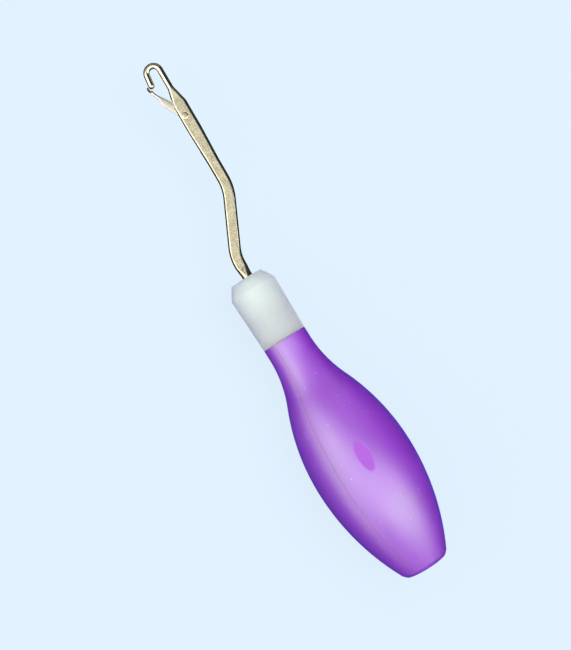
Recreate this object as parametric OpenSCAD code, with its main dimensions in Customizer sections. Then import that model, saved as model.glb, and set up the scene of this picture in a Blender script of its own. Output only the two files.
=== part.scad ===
// Bent latch hook for rug canvas: a cranked steel shank with an open hook and a
// swinging latch, a white ferrule, and a bulb grip made of two alike shells.
// X runs along the grip's axis towards the butt and Y towards the side that the
// shank is cranked to. The tool lies level on its belly at z = 0.

/* [Grip] */
// Length of the purple grip
grip_len = 77; // [74:0.5:92]
// Diameter at the belly, the widest ring
belly_d = 30.5; // [28:0.5:36]
// Diameter of the neck, flush with the ferrule
neck_d = 13.6; // [13.2:0.2:16]
// Length of the straight neck behind the ferrule
neck_len = 3; // [2:0.5:5]
// Radius of the hollow sweep from neck to belly
neck_arc = 36; // [30:1:45]
// Radius of the belly's front sweep
front_arc = 64.5; // [56:0.5:80]
// Diameter that the belly's rear sweep comes in to at the butt
butt_d = 14; // [13:0.5:20]
// Wall of the shells
wall = 2.4; // [1.8:0.1:2.8]
// Thickness of a rib
rib_t = 1.6; // [1.2:0.1:2.2]
// Distance from one rib to the next
rib_pitch = 13; // [11:0.5:15.5]
// Depth of the solid front, behind the ferrule
front_solid = 8; // [6:0.5:9]
// Depth of the solid butt
butt_solid = 5.5; // [4.5:0.5:7]
// Chamfer at the butt's edge
butt_edge = 0.7; // [0.3:0.1:1.2]
// Turn of the seam from the top, away from the crank's side, in degrees
seam_turn = 31; // [0:1:45]
// Angle that the locating tongue reaches into the other shell, in degrees
tongue_deg = 4; // [2:0.5:6]

/* [Oval mark] */
// Distance of the mark's centre from the ferrule
mark_x = 39.3; // [34:0.1:43]
// Depth of the mark
mark_depth = 0.18; // [0.1:0.02:0.3]
// Radius that the mark is hollowed with, across the grip
mark_r = 31; // [20:1:60]
// Turn of the mark from the top, towards the crank's side, in degrees
mark_turn = 6.5; // [0:0.5:12]

/* [Ferrule] */
// Length of the white ferrule
ferrule_len = 20.7; // [17:0.1:25]
// Largest diameter, just behind its chamfer
ferrule_d = 14.4; // [13.8:0.1:17.5]
// Diameter of its front face
face_d = 10.3; // [8.6:0.1:12.4]
// Length of the front chamfer
chamfer_len = 3.5; // [2.5:0.1:4.5]
// Diameter of the shells' nose inside the ferrule
nose_d = 9.8; // [8.2:0.1:10.2]
// Length of the shells' nose inside the ferrule
nose_len = 9; // [7:0.1:11]

/* [Shank] */
// Reach from the ferrule's face to the front of the hook
reach = 67.3; // [62:0.1:82]
// Diameter of the round stub in the ferrule
stub_d = 3.1; // [2.6:0.05:3.5]
// Width of the pressed bar, seen from above
bar_w = 3.6; // [3.2:0.05:4.1]
// Thickness of the pressed bar
bar_t = 2.2; // [1.9:0.05:2.5]
// Radius of the bar's bulged sides
side_r = 1.33; // [1.25:0.01:1.45]
// Distance of the stub from the grip's axis
stub_off = 0.6; // [0:0.1:0.8]
// Distance from the ferrule to the first elbow
elbow_back = 6.7; // [6:0.1:8]
// Length over which the round stub turns into the pressed bar
press_len = 3; // [2:0.1:3.5]
// Sideways step of the crank
crank_step = 9; // [7.5:0.1:10.8]
// Slope of the crank, in degrees
crank_deg = 26.3; // [22:0.1:30]
// Lean of the front run, in degrees
lean_deg = 1.85; // [0:0.05:3]
// Radius of the first elbow, on the bar's middle line
elbow_1_r = 12.5; // [9:0.5:14]
// Radius of the second elbow, on the bar's middle line
elbow_2_r = 15; // [10:0.5:18]

/* [Hook] */
// Diameter of the hook's wire
wire_d = 1.8; // [1.5:0.05:1.9]
// Radius of the bow, on the wire's middle line
bow_r = 2.08; // [1.9:0.02:2.5]
// Angle that the open leg flares outwards, in degrees
flare_deg = 8.5; // [4:0.5:11]
// Length of the open leg, without its round tip
leg_len = 3.2; // [2.6:0.1:3.4]

/* [Cheek] */
// Distance of the latch's pivot from the front of the bow
pivot_back = 18.3; // [17.8:0.1:20]
// Distance of the pivot from the bar's middle line, towards the throat
pivot_off = 0.42; // [0.2:0.02:0.6]
// Width of the cheek
cheek_w = 4.3; // [3.9:0.05:5.1]
// Length of the cheek in front of the pivot
cheek_front = 3.9; // [3.2:0.1:4.6]
// Length of the cheek behind the pivot
cheek_back = 5.1; // [4.2:0.1:6]
// Length of the taper behind the cheek
taper_back = 10.4; // [8:0.1:12]
// Length of the taper in front of the cheek
taper_front = 5.2; // [4.4:0.1:5.6]
// Diameter of the rivet
rivet_d = 1.2; // [1:0.05:1.4]
// Diameter of the rivet's peened heads
rivet_head_d = 1.9; // [1.6:0.05:2.2]
// Height of the rivet's peened heads
rivet_head = 0.16; // [0.1:0.02:0.3]

/* [Latch] */
// Thickness of the blade
blade_t = 0.8; // [0.65:0.05:0.95]
// Width of the blade
blade_w = 2.1; // [1.8:0.05:2.4]
// Length of the blade's shoulders, which narrow it
shoulder_len = 2.7; // [2:0.1:3.4]
// Length of the bare neck between the blade and the spoon's rim
bare_neck = 1.8; // [1.2:0.1:2.4]
// Width of the neck, seen from above
neck_w = 0.64; // [0.5:0.02:0.8]
// Width of the spoon
spoon_w = 2.6; // [2.4:0.05:3]
// Height of the spoon from its rim to its back
spoon_h = 0.8; // [0.6:0.05:0.9]
// Wall of the spoon
spoon_wall = 0.34; // [0.25:0.01:0.4]
// How far the spoon's back lies inwards of the pivot's line
spoon_drop = 0.04; // [0:0.01:0.1]
// How far the spoon's middle lies short of the middle of the open leg's tip
spoon_short = 0.43; // [0.2:0.01:0.7]
// Gap between the level of the spoon's rim and the open leg's tip at rest
rest_gap = 0.14; // [0.12:0.01:3]
// How far the latch can still close from its place at rest, in degrees
close_deg = 1; // [0.4:0.1:1]
// Slope of the latch when it is folded back, against the bar, in degrees
latch_back_deg = 12; // [10:0.5:20]

/* [Inside the grip] */
// Width of the hex block across its flats
block_af = 7.4; // [6.2:0.1:7.6]
// Start of the hex block behind the ferrule's joint
block_x = 2.2; // [1.5:0.1:3.5]
// Diameter of the block's flange
flange_d = 13; // [11:0.5:15]
// Width of the tang's paddle
tang_w = 4.4; // [3.6:0.1:4.8]
// Thickness of the tang's paddle
tang_t = 1.6; // [1.3:0.1:2]
// Start of the paddle behind the ferrule's joint
tang_x = 7; // [5.5:0.1:8.5]
// Length of the paddle
tang_len = 19; // [15:0.5:21]
// Radius of the tang's notches
notch_r = 0.9; // [0.6:0.05:1.1]
// Number of notches along each edge of the tang
notches = 3; // [2:1:4]
// Diameter of the butt plug's head
plug_d = 9; // [7.5:0.1:10.2]
// Thickness of the butt plug's head
plug_head = 1.6; // [1.2:0.1:2.2]
// Diameter of the butt plug's stem
plug_stem_d = 6; // [5:0.1:7]
// Height of the bead that keeps the plug in
plug_bead = 0.3; // [0.2:0.05:0.5]

/* [Fits] */
// Gap between pieces that are pressed, glued or moulded together
fit_gap = 0.03; // [0.02:0.01:0.06]
// Gap between the two shells at the seam
seam_gap = 0.06; // [0.02:0.01:0.1]
// Running gap round the rivet, on the radius
pivot_gap = 0.03; // [0.02:0.01:0.06]
// Gap on each side of the blade in its slot
slot_gap = 0.06; // [0.04:0.01:0.1]
// Room round the blade's edges in its slot
slot_room = 0.15; // [0.1:0.05:0.25]

/* [Hidden] */
$fn = 64;
hull_fn = 32;
arc_steps = 12;
eps = 0.01;
over = 1;

// A run of the shank reaches this far into the next piece, whose skin stands this far proud
reach_in = 0.05;
proud = 0.02;

// The grip's outline: a straight neck, a hollow arc and two belly arcs, all tangent
belly_r = belly_d / 2;
neck_r = neck_d / 2;
lift = neck_r + neck_arc - belly_r + front_arc;
run = sqrt(pow(neck_arc + front_arc, 2) - lift * lift);
belly_x = neck_len + run;
meet_deg = asin(run / (neck_arc + front_arc));
butt_r = butt_d / 2;
rear_arc = (pow(grip_len - belly_x, 2) + pow(belly_r - butt_r, 2)) / (2 * (belly_r - butt_r));
butt_deg = asin((grip_len - belly_x) / rear_arc);

// Places along the grip's axis, counted from the joint of ferrule and grip
face_x = -ferrule_len;
hook_x = face_x - reach;
butt_x = grip_len - butt_solid;
rib_x = front_solid + rib_pitch;
chambers = floor((butt_x - front_solid) / rib_pitch);
block_end = rib_x + rib_pitch - rib_t - fit_gap;

// The shank's two elbows, on its middle line
elbow_1 = [face_x - elbow_back, stub_off];
elbow_2 = elbow_1 + [-crank_step / tan(crank_deg), crank_step];
trim_1 = elbow_1_r * tan(crank_deg / 2);
trim_2 = elbow_2_r * tan((crank_deg - lean_deg) / 2);

// Headings of the shank's runs, towards the hook
stub_way = 180;
crank_way = 180 - crank_deg;
front_way = 180 - lean_deg;

// Distances along the front run from the second elbow
bow_front = wire_d / 2 + proud + bow_r * (1 + sin(lean_deg));
bow_run = (elbow_2[0] - hook_x - bow_front) / cos(lean_deg);
pivot_run = (elbow_2[0] - hook_x - pivot_back) / cos(lean_deg);
cheek_start = pivot_run - cheek_back;
cheek_end = pivot_run + cheek_front;
taper_start = max(trim_2, cheek_start - taper_back);

// The bow and the open leg
bow_start = along(elbow_2, front_way, bow_run);
bow_centre = along(bow_start, front_way + 90, bow_r);
leg_start = along(bow_centre, -flare_deg - 90, bow_r);
tip = along(leg_start, -flare_deg, leg_len);
tip_r = wire_d / 2 + proud;

// The latch's pivot, and the latch's length and slope, which take its spoon over the tip
pivot = along(elbow_2, front_way, pivot_run) - pivot_off * [sin(lean_deg), cos(lean_deg)];
tip_drop = spoon_drop + spoon_h + rest_gap + tip_r;
tip_deg = asin(tip_drop / norm(tip - pivot));
latch_deg = atan2(pivot[1] - tip[1], pivot[0] - tip[0]) + tip_deg;
latch_len = norm(tip - pivot) * cos(tip_deg) - spoon_short + spoon_w / 2;
blade_len = latch_len - spoon_w - bare_neck;
slot_t = blade_t + 2 * slot_gap;
slot_r = blade_w / 2 + slot_room;
rim_r = spoon_w / 2;
spoon_r = (rim_r * rim_r + spoon_h * spoon_h) / (2 * spoon_h);
neck_end = latch_len - rim_r - sqrt(pow(spoon_r - spoon_wall, 2) - pow(spoon_r - neck_w, 2)) - eps;

steel = [0.78, 0.74, 0.66];
bright_steel = [0.86, 0.86, 0.84];
white = [0.92, 0.94, 0.92];
purple = [0.58, 0.28, 0.78];
natural = [0.85, 0.83, 0.76];

function toward(way) = [cos(way), sin(way)];
function along(from, way, s) = from + s * toward(way);

// Puts the tool, which is drawn round the grip's axis from the joint, level on the table
module on_table() {
    translate([-(hook_x + grip_len) / 2, 0, belly_r])
        children();
}

// Turns a section of (radius, distance along the axis) from below, by the crank's side
module turned(degrees = 360) {
    rotate([0, 90, 0])
        rotate_extrude(angle = degrees)
            children();
}

// A round bar along the grip's axis
module axial(d, from, to) {
    translate([from, 0, 0])
        rotate([0, 90, 0])
            cylinder(d = d, h = to - from);
}

// Grip

// Points of the outline moved inwards by w, as (radius, distance along the axis)
function hollow_point(a, w) =
    [neck_r + neck_arc - (neck_arc + w) * cos(a), neck_len + (neck_arc + w) * sin(a)];
function front_point(a, w) =
    [belly_r - front_arc + (front_arc - w) * cos(a), belly_x - (front_arc - w) * sin(a)];
function rear_point(a, w) =
    [belly_r - rear_arc + (rear_arc - w) * cos(a), belly_x + (rear_arc - w) * sin(a)];
function grip_outline(w) = concat(
    [[neck_r - w, -over]],
    [for (i = [0:arc_steps]) hollow_point(meet_deg * i / arc_steps, w)],
    [for (i = [1:arc_steps]) front_point(meet_deg * (1 - i / arc_steps), w)],
    [for (i = [1:arc_steps]) rear_point((butt_deg + over) * i / arc_steps, w)]);

// The grip's section moved inwards by w, filled to the axis, between two distances
module grip_section(w, from, to) {
    outline = grip_outline(w);
    intersection() {
        polygon(concat([[0, -over]], outline, [[0, outline[len(outline) - 1][1]]]));
        translate([0, from])
            square([belly_r, to - from]);
    }
}

// A shell's wall, nose, ribs and solid ends
module shell_section() {
    difference() {
        union() {
            grip_section(0, 0, grip_len);
            translate([0, -nose_len])
                square([nose_d / 2, nose_len + eps]);
        }
        translate([butt_r, grip_len])
            rotate(45)
                square(butt_edge * sqrt(2), center = true);
        for (i = [0:chambers - 1])
            let (start = front_solid + i * rib_pitch)
                grip_section(wall, start, i == chambers - 1 ? butt_x : start + rib_pitch - rib_t);
        // The way in for the shank's stub
        translate([0, -nose_len - over])
            square([stub_d / 2 + stub_off + fit_gap, nose_len + over + block_x + eps]);
        // The holes behind the block, and the plug's seat
        translate([0, block_end + fit_gap + rib_t])
            square([plug_stem_d / 2 + fit_gap, grip_len - block_end]);
        translate([0, grip_len - plug_head - fit_gap])
            square([plug_d / 2 + fit_gap, plug_head + over]);
    }
}

// The middle of the wall, from which the tongue stands and into which the groove goes
module tongue_section(gap) {
    difference() {
        grip_section(wall * 0.35 - gap, front_solid - gap, butt_x + gap);
        grip_section(wall * 0.65 + gap, 0, grip_len);
    }
}

// One shell on the crank's side of an upright seam: its tongue is on top, its groove below
module shell() {
    difference() {
        turned(180)
            shell_section();
        translate([-nose_len - over, -belly_r, -belly_r])
            cube([nose_len + grip_len + 2 * over, belly_r + seam_gap / 2, belly_d]);
        rotate([-tongue_deg, 0, 0])
            turned(2.3 * tongue_deg)
                tongue_section(fit_gap);
        block_body(fit_gap);
    }
    rotate([180 - tongue_deg, 0, 0])
        turned(2 * tongue_deg)
            tongue_section(0);
}

// The cutter of the oval mark: a shallow hollow that follows the grip's slope
module mark_cut() {
    tilt = asin((belly_x - mark_x) / front_arc);
    surface_r = belly_r - front_arc * (1 - cos(tilt));
    rotate([-mark_turn, 0, 0])
        translate([mark_x, 0, surface_r - mark_depth])
            rotate([0, -tilt, 0])
                translate([0, 0, mark_r])
                    rotate([0, 90, 0])
                        cylinder(r = mark_r, h = belly_r, center = true);
}

module grip_shell_right() {
    color(purple)
        on_table()
            difference() {
                rotate([seam_turn, 0, 0])
                    shell();
                mark_cut();
            }
}

module grip_shell_left() {
    color(purple)
        on_table()
            rotate([seam_turn + 180, 0, 0])
                shell();
}

// A plug that snaps into the butt and holds the shells' rear ends together
module butt_plug() {
    r = plug_stem_d / 2;
    color(purple)
        on_table()
            turned()
                polygon([[0, grip_len], [plug_d / 2 - 0.2, grip_len],
                         [plug_d / 2, grip_len - 0.2], [plug_d / 2, grip_len - plug_head],
                         [r, grip_len - plug_head], [r, butt_x - fit_gap],
                         [r + plug_bead, butt_x - fit_gap - plug_bead],
                         [r - plug_bead, butt_x - 5 * plug_bead],
                         [0, butt_x - 5 * plug_bead]]);
}

// Ferrule

// The white ferrule, which grips the nose of both shells and lets the stub through
module ferrule() {
    color(white)
        on_table()
            difference() {
                turned()
                    difference() {
                        polygon([[0, face_x], [face_d / 2, face_x],
                                 [ferrule_d / 2, face_x + chamfer_len],
                                 [neck_r, -fit_gap], [0, -fit_gap]]);
                        translate([0, -nose_len - fit_gap])
                            square([nose_d / 2 + fit_gap, nose_len + fit_gap + over]);
                    }
                translate([0, stub_off, 0])
                    axial(stub_d + 2 * fit_gap, face_x - over, 0);
            }
}

// Shank

// The pressed bar's section: flat above and below, bulged at the sides, larger by grow
module bar_section(w, grow = 0) {
    intersection() {
        square([w + 2 * grow, bar_t + 2 * grow], center = true);
        union() {
            square([w - 2 * side_r, bar_t + 2 * grow], center = true);
            for (side = [-1, 1])
                translate([side * (w / 2 - side_r), 0])
                    circle(r = side_r + grow);
        }
    }
}

// A straight run of a section, which starts at a point and heads a way in the XY plane
module straight(from, way, length) {
    start = along(from, way, -reach_in);
    translate([start[0], start[1], 0])
        rotate([0, 0, way])
            rotate([90, 0, 90])
                linear_extrude(length + 2 * reach_in)
                    children();
}

// A bend of a section, to the left for a positive angle and to the right for a negative one
module bend(from, way, angle, r) {
    side = angle > 0 ? 1 : -1;
    centre = along(from, way + side * 90, r);
    translate([centre[0], centre[1], 0])
        rotate([0, 0, way - side * 90 + min(angle, 0)])
            rotate_extrude(angle = abs(angle))
                translate([r, 0])
                    children();
}

// The stub and its flattened, notched tang, larger by gap
module tang(gap) {
    tang_end = tang_x + tang_len;
    half_w = tang_w / 2 + gap;
    tip = tang_w / 3;
    translate([0, stub_off, 0]) {
        axial(stub_d + 2 * gap, elbow_1[0] + trim_1 + press_len, tang_x);
        translate([tang_x, 0, 0])
            rotate([0, 90, 0])
                cylinder(d1 = stub_d + 2 * gap, d2 = tang_t * 0.7 + 2 * gap, h = tang_w);
        linear_extrude(tang_t + 2 * gap, center = true)
            difference() {
                polygon([[tang_x - gap, -half_w], [tang_end - tip + gap, -half_w],
                         [tang_end + gap, -tip / 2], [tang_end + gap, tip / 2],
                         [tang_end - tip + gap, half_w], [tang_x - gap, half_w]]);
                for (i = [1:notches], side = [-1, 1])
                    translate([tang_x + i * (tang_len - tip) / (notches + 0.5), side * half_w])
                        circle(r = notch_r - gap);
            }
    }
}

// The room that the blade sweeps in the cheek, drawn from the pivot with X along the bar
module slot_outline() {
    closed = latch_deg - close_deg - lean_deg;
    deep = cheek_w + over;
    front = slot_r * [-sin(closed), cos(closed)];
    rear = slot_r * [sin(latch_back_deg), cos(latch_back_deg)];
    front_out = front - deep / tan(closed) * [1, tan(closed)];
    rear_out = rear + (blade_len + 2) * [cos(latch_back_deg), -sin(latch_back_deg)];
    circle(r = slot_r);
    polygon([front_out, front, rear, rear_out, [rear_out[0], front_out[1]]]);
}

// The crank: two bends of the bar, and the runs before and behind them
module crank() {
    start = along(elbow_1, crank_way, trim_1);
    end = along(elbow_2, crank_way, -trim_2);
    bend(along(elbow_1, 0, trim_1), stub_way, -crank_deg, elbow_1_r)
        bar_section(bar_w, proud);
    straight(start, crank_way, norm(end - start))
        bar_section(bar_w);
    bend(end, crank_way, crank_deg - lean_deg, elbow_2_r)
        bar_section(bar_w, proud);
    straight(along(elbow_2, front_way, trim_2), front_way, taper_start - trim_2)
        bar_section(bar_w);
}

// The cheek and the tapers behind and in front of it
module cheek() {
    taper_end = cheek_end + taper_front;
    hull($fn = hull_fn) {
        slice(taper_start)
            bar_section(bar_w, proud);
        slice(cheek_start)
            bar_section(cheek_w, proud);
    }
    straight(along(elbow_2, front_way, cheek_start), front_way, cheek_end - cheek_start)
        bar_section(cheek_w);
    hull($fn = hull_fn) {
        slice(cheek_end)
            bar_section(cheek_w, proud);
        slice(taper_end)
            circle(d = wire_d + 2 * proud);
    }
    straight(along(elbow_2, front_way, taper_end), front_way, bow_run - taper_end)
        circle(d = wire_d);
}

// A thin slice of a section, across the front run
module slice(s) {
    at = along(elbow_2, front_way, s);
    translate([at[0], at[1], 0])
        rotate([0, 0, front_way])
            rotate([90, 0, 90])
                linear_extrude(eps, center = true)
                    children();
}

// The bow and the open leg with its round tip
module hook() {
    bend(bow_start, front_way, 180 + lean_deg - flare_deg, bow_r)
        circle(r = tip_r);
    straight(leg_start, -flare_deg, leg_len)
        circle(d = wire_d);
    translate([tip[0], tip[1], 0])
        sphere(r = tip_r);
}

// The room that the blade sweeps in the cheek, and the rivet's hole
module cheek_cut() {
    translate([pivot[0], pivot[1], 0]) {
        rotate([0, 0, -lean_deg])
            linear_extrude(slot_t, center = true)
                slot_outline();
        cylinder(d = rivet_d + 2 * fit_gap, h = bar_t + over, center = true);
    }
}

// One piece of steel: tang, stub, crank, cheek and hook
module hook_shank() {
    press_end = along(elbow_1, 0, trim_1);
    color(steel)
        on_table() {
            tang(0);
            hull($fn = hull_fn) {
                straight(along(press_end, 0, press_len), 0, eps)
                    circle(d = stub_d + 2 * proud);
                straight(press_end, 0, eps)
                    bar_section(bar_w, -proud);
            }
            crank();
            difference() {
                cheek();
                cheek_cut();
            }
            hook();
        }
}

// Latch

// The rivet that the latch swings on, peened over on both cheeks
module latch_rivet() {
    r = rivet_d / 2;
    top = bar_t / 2 + fit_gap;
    color(bright_steel)
        on_table()
            translate([pivot[0], pivot[1], 0]) {
                cylinder(d = rivet_d, h = 2 * top + eps, center = true);
                for (side = [0, 1])
                    mirror([0, 0, side])
                        translate([0, 0, top])
                            cylinder(d1 = rivet_head_d, d2 = rivet_d, h = rivet_head);
            }
}

// The latch, drawn from its pivot towards the spoon along X, with the spoon's back to +Y
module latch() {
    r = blade_w / 2;
    neck_back = -spoon_drop;
    shoulder = blade_len - shoulder_len;
    color(bright_steel)
        on_table()
            translate([pivot[0], pivot[1], 0])
                rotate([0, 0, 180 + latch_deg]) {
                    difference() {
                        linear_extrude(blade_t, center = true) {
                            circle(r = r);
                            polygon([[0, -r], [shoulder, -r], [blade_len, -r * 0.7],
                                     [blade_len + neck_w, neck_back - neck_w],
                                     [neck_end, neck_back - neck_w], [neck_end, neck_back],
                                     [blade_len + 3 * neck_w, neck_back],
                                     [blade_len, r * 0.7], [shoulder, r], [0, r]]);
                        }
                        cylinder(d = rivet_d + 2 * pivot_gap, h = bar_t, center = true);
                    }
                    translate([latch_len - rim_r, neck_back - spoon_r, 0])
                        difference() {
                            sphere(r = spoon_r);
                            sphere(r = spoon_r - spoon_wall);
                            translate([-belly_r, spoon_r - spoon_h - belly_d, -belly_r])
                                cube(belly_d);
                        }
                }
}

// Inside the grip

// The hex block's outside, larger by gap, with two corners on an upright seam
module block_body(gap) {
    translate([block_x - gap, 0, 0])
        rotate([0, 90, 0])
            cylinder(d = (block_af + 2 * gap) / cos(30), h = block_end - block_x + 2 * gap, $fn = 6);
}

// The block moulded round the tang: its hex stops turning and its flange stops pulling out
module tang_block() {
    color(natural)
        on_table()
            difference() {
                rotate([seam_turn, 0, 0]) {
                    block_body(0);
                    axial(flange_d, rib_x + fit_gap, rib_x + fit_gap + rib_t);
                }
                tang(fit_gap);
            }
}

hook_shank();
latch();
latch_rivet();
ferrule();
grip_shell_left();
grip_shell_right();
tang_block();
butt_plug();
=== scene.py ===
# %% [markdown]
# # A bent latch hook for rug making
#
# The tool has a bulb grip of purple plastic, a milky ferrule, and a cranked steel shank that ends in an
# open hook. A small latch swings on a rivet and closes the hook over the yarn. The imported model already
# holds the true sizes and the joint. This notebook loads it as a fixed frame and builds the looks on it.

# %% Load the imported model
import math

import bmesh
import bpy
from mathutils import Matrix, Vector


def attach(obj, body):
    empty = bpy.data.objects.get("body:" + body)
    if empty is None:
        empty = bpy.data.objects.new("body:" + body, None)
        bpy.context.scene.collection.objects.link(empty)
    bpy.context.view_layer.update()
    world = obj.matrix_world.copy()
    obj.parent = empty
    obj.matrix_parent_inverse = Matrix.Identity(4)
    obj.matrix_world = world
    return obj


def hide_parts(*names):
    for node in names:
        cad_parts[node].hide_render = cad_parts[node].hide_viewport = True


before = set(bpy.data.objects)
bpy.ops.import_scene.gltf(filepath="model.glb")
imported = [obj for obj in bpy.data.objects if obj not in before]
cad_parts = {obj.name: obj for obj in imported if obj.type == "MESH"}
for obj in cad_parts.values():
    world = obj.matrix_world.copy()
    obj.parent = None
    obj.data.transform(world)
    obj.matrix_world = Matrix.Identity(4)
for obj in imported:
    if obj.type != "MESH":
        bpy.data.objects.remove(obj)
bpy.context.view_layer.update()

# %% [markdown]
# Every size below is in millimetres, and is counted from the joint of ferrule and grip, on the grip's
# axis. X runs to the butt and Y to the side that the shank is cranked to. One function takes a finished
# list of points to metres and to the model's place, so an object itself is never moved or scaled.

# %% Place and make a mesh
JOINT = Vector((5.5, 0, 15.25))
SAME_POINT = 1e-7


def to_frame(point):
    return (Vector(point) + JOINT) / 1000


def face_outwards(mesh, merge=False):
    shape = bmesh.new()
    shape.from_mesh(mesh)
    if merge:
        bmesh.ops.remove_doubles(shape, verts=shape.verts, dist=SAME_POINT)
    bmesh.ops.recalc_face_normals(shape, faces=shape.faces)
    shape.to_mesh(mesh)
    shape.free()
    mesh.polygons.foreach_set("use_smooth", [True] * len(mesh.polygons))


def make_piece(name, points, faces):
    mesh = bpy.data.meshes.new(name)
    mesh.from_pydata([to_frame(p) for p in points], [], faces)
    face_outwards(mesh, merge=True)
    piece = bpy.data.objects.new(name, mesh)
    bpy.context.scene.collection.objects.link(piece)
    return piece


def set_piece(piece, material, body, node, sharp):
    # An edge stays sharp where its faces meet at more than the given angle
    piece.data.set_sharp_from_angle(angle=math.radians(sharp))
    piece.data.materials.clear()
    piece.data.materials.append(material)
    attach(piece, body)
    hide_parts(node)
    triangles = sum(len(p.vertices) - 2 for p in piece.data.polygons)
    print(piece.name, "on", body, "for", node, "-", triangles, "triangles")


# %% [markdown]
# A modifier such as Bevel or Boolean is set up on the piece, and then the evaluated shape is written back
# as a plain mesh. That keeps each piece simple for whoever uses it next.

# %% Write a modifier's result back
def settle(piece):
    bpy.context.view_layer.update()
    graph = bpy.context.evaluated_depsgraph_get()
    mesh = bpy.data.meshes.new_from_object(piece.evaluated_get(graph), depsgraph=graph)
    piece.modifiers.clear()
    old = piece.data
    piece.data = mesh
    bpy.data.meshes.remove(old)
    mesh.name = piece.name


def cut_away(piece, cutter):
    knife = piece.modifiers.new("cut", "BOOLEAN")
    knife.operation = "DIFFERENCE"
    knife.solver = "EXACT"
    knife.object = cutter
    settle(piece)
    bpy.data.objects.remove(cutter)


def soften_edges(piece, width):
    bevel = piece.modifiers.new("edges", "BEVEL")
    bevel.width = width / 1000
    bevel.segments = 2
    bevel.limit_method = "ANGLE"
    bevel.angle_limit = math.radians(35)
    settle(piece)


# %% [markdown]
# ## Finishes
#
# Each finish is a small node tree. Colours are written as sRGB hex values, the way that a colour picker
# shows them, and one function turns them to the linear values that the shaders work in. The others each
# add a node with its settings and its links, and give back the output that the next one needs.

# %% Colours and nodes
def linear(code):
    parts = [int(code[i:i + 2], 16) / 255 for i in (1, 3, 5)]
    return [c / 12.92 if c < 0.04045 else ((c + 0.055) / 1.055) ** 2.4 for c in parts] + [1.0]


def add(tree, kind, settings=None, inputs=None):
    node = tree.nodes.new(kind)
    for key, value in (settings or {}).items():
        setattr(node, key, value)
    for key, value in (inputs or {}).items():
        if isinstance(value, bpy.types.NodeSocket):
            tree.links.new(value, node.inputs[key])
        else:
            node.inputs[key].default_value = value
    return node


def calc(tree, operation, *values):
    return add(tree, "ShaderNodeMath", {"operation": operation}, dict(enumerate(values))).outputs[0]


def noise(tree, where, scale, detail):
    settings = {"Vector": where, "Scale": scale, "Detail": detail}
    return add(tree, "ShaderNodeTexNoise", {}, settings).outputs["Fac"]


def stretch(tree, value, start, end, low, high, kind="LINEAR"):
    # Runs from the low value at the start to the high one at the end, and goes no further
    return add(tree, "ShaderNodeMapRange", {"interpolation_type": kind},
               {0: value, 1: start, 2: end, 3: low, 4: high}).outputs[0]


def blend(tree, part, first, second):
    return add(tree, "ShaderNodeMix", {"data_type": "FLOAT"}, {0: part, 2: first, 3: second}).outputs[0]


def blend_colours(tree, part, first, second):
    return add(tree, "ShaderNodeMix", {"data_type": "RGBA"}, {0: part, 6: first, 7: second}).outputs[2]


def blend_shaders(tree, part, first, second):
    return add(tree, "ShaderNodeMixShader", {}, {0: part, 1: first, 2: second}).outputs[0]


def ramp(tree, part, *stops):
    node = add(tree, "ShaderNodeValToRGB", {}, {"Fac": part})
    for element, (place, colour) in zip(node.color_ramp.elements, stops):
        element.position = place
        element.color = colour
    return node.outputs["Color"]


def reach_from(tree, where, centre, radii):
    # The distance from a centre, in which 1 is the edge of an oval with the given radii
    offset = add(tree, "ShaderNodeVectorMath", {"operation": "SUBTRACT"}, {0: where, 1: centre})
    scaled = add(tree, "ShaderNodeVectorMath", {"operation": "DIVIDE"}, {0: offset.outputs[0], 1: radii})
    length = add(tree, "ShaderNodeVectorMath", {"operation": "LENGTH"}, {0: scaled.outputs[0]})
    return length.outputs["Value"]


def new_finish(name):
    material = bpy.data.materials.new(name)
    material.use_nodes = True
    material.node_tree.nodes.clear()
    return material, material.node_tree


def close_finish(tree, skin, height, depth_mm):
    shader = add(tree, "ShaderNodeBsdfPrincipled", {}, skin)
    bump = add(tree, "ShaderNodeBump", {}, {"Height": height, "Strength": 1.0, "Distance": depth_mm / 1000})
    tree.links.new(bump.outputs["Normal"], shader.inputs["Normal"])
    add(tree, "ShaderNodeOutputMaterial", {}, {"Surface": shader.outputs[0]})


# %% [markdown]
# The grip is injection-moulded plastic, probably ABS, dyed through in purple. A moulded skin is neither
# matt nor mirror bright: it spreads a window into a pale highlight, it has a fine grain from the mould,
# and it catches small light specks of dust. The grain here is about 0.35 mm, a little coarser than the
# real one, so that it shows. The shine is tinted green, the colour that purple lacks, so that the
# highlight comes out as a pale lilac, and a deep blue sheen lies along the edges. A shallow oval dip on
# top is duller and has less of the clear coat, so it keeps its full purple. Its duller, deeper purple
# finish is a painted dark reflection in the pale highlight, and the oval carries no label.

# %% Moulded purple plastic
# The oval: a shallow dip whose duller, deeper purple finish is a painted dark reflection
MARK_X = 39.3
MARK_LONG = 9.8
MARK_WIDE = 3.85
MARK_DEPTH = 0.18
MARK_TURN = math.radians(6.5)
# How far the oval's middle lies from the axis, and how deep its colour goes
MARK_R = 14.8
MARK_REACH = 4.0
GREEN_SHINE = (0.66, 1.0, 0.3, 1.0)
BLUE_SHEEN = (0.08, 0.06, 1.0, 1.0)


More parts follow.
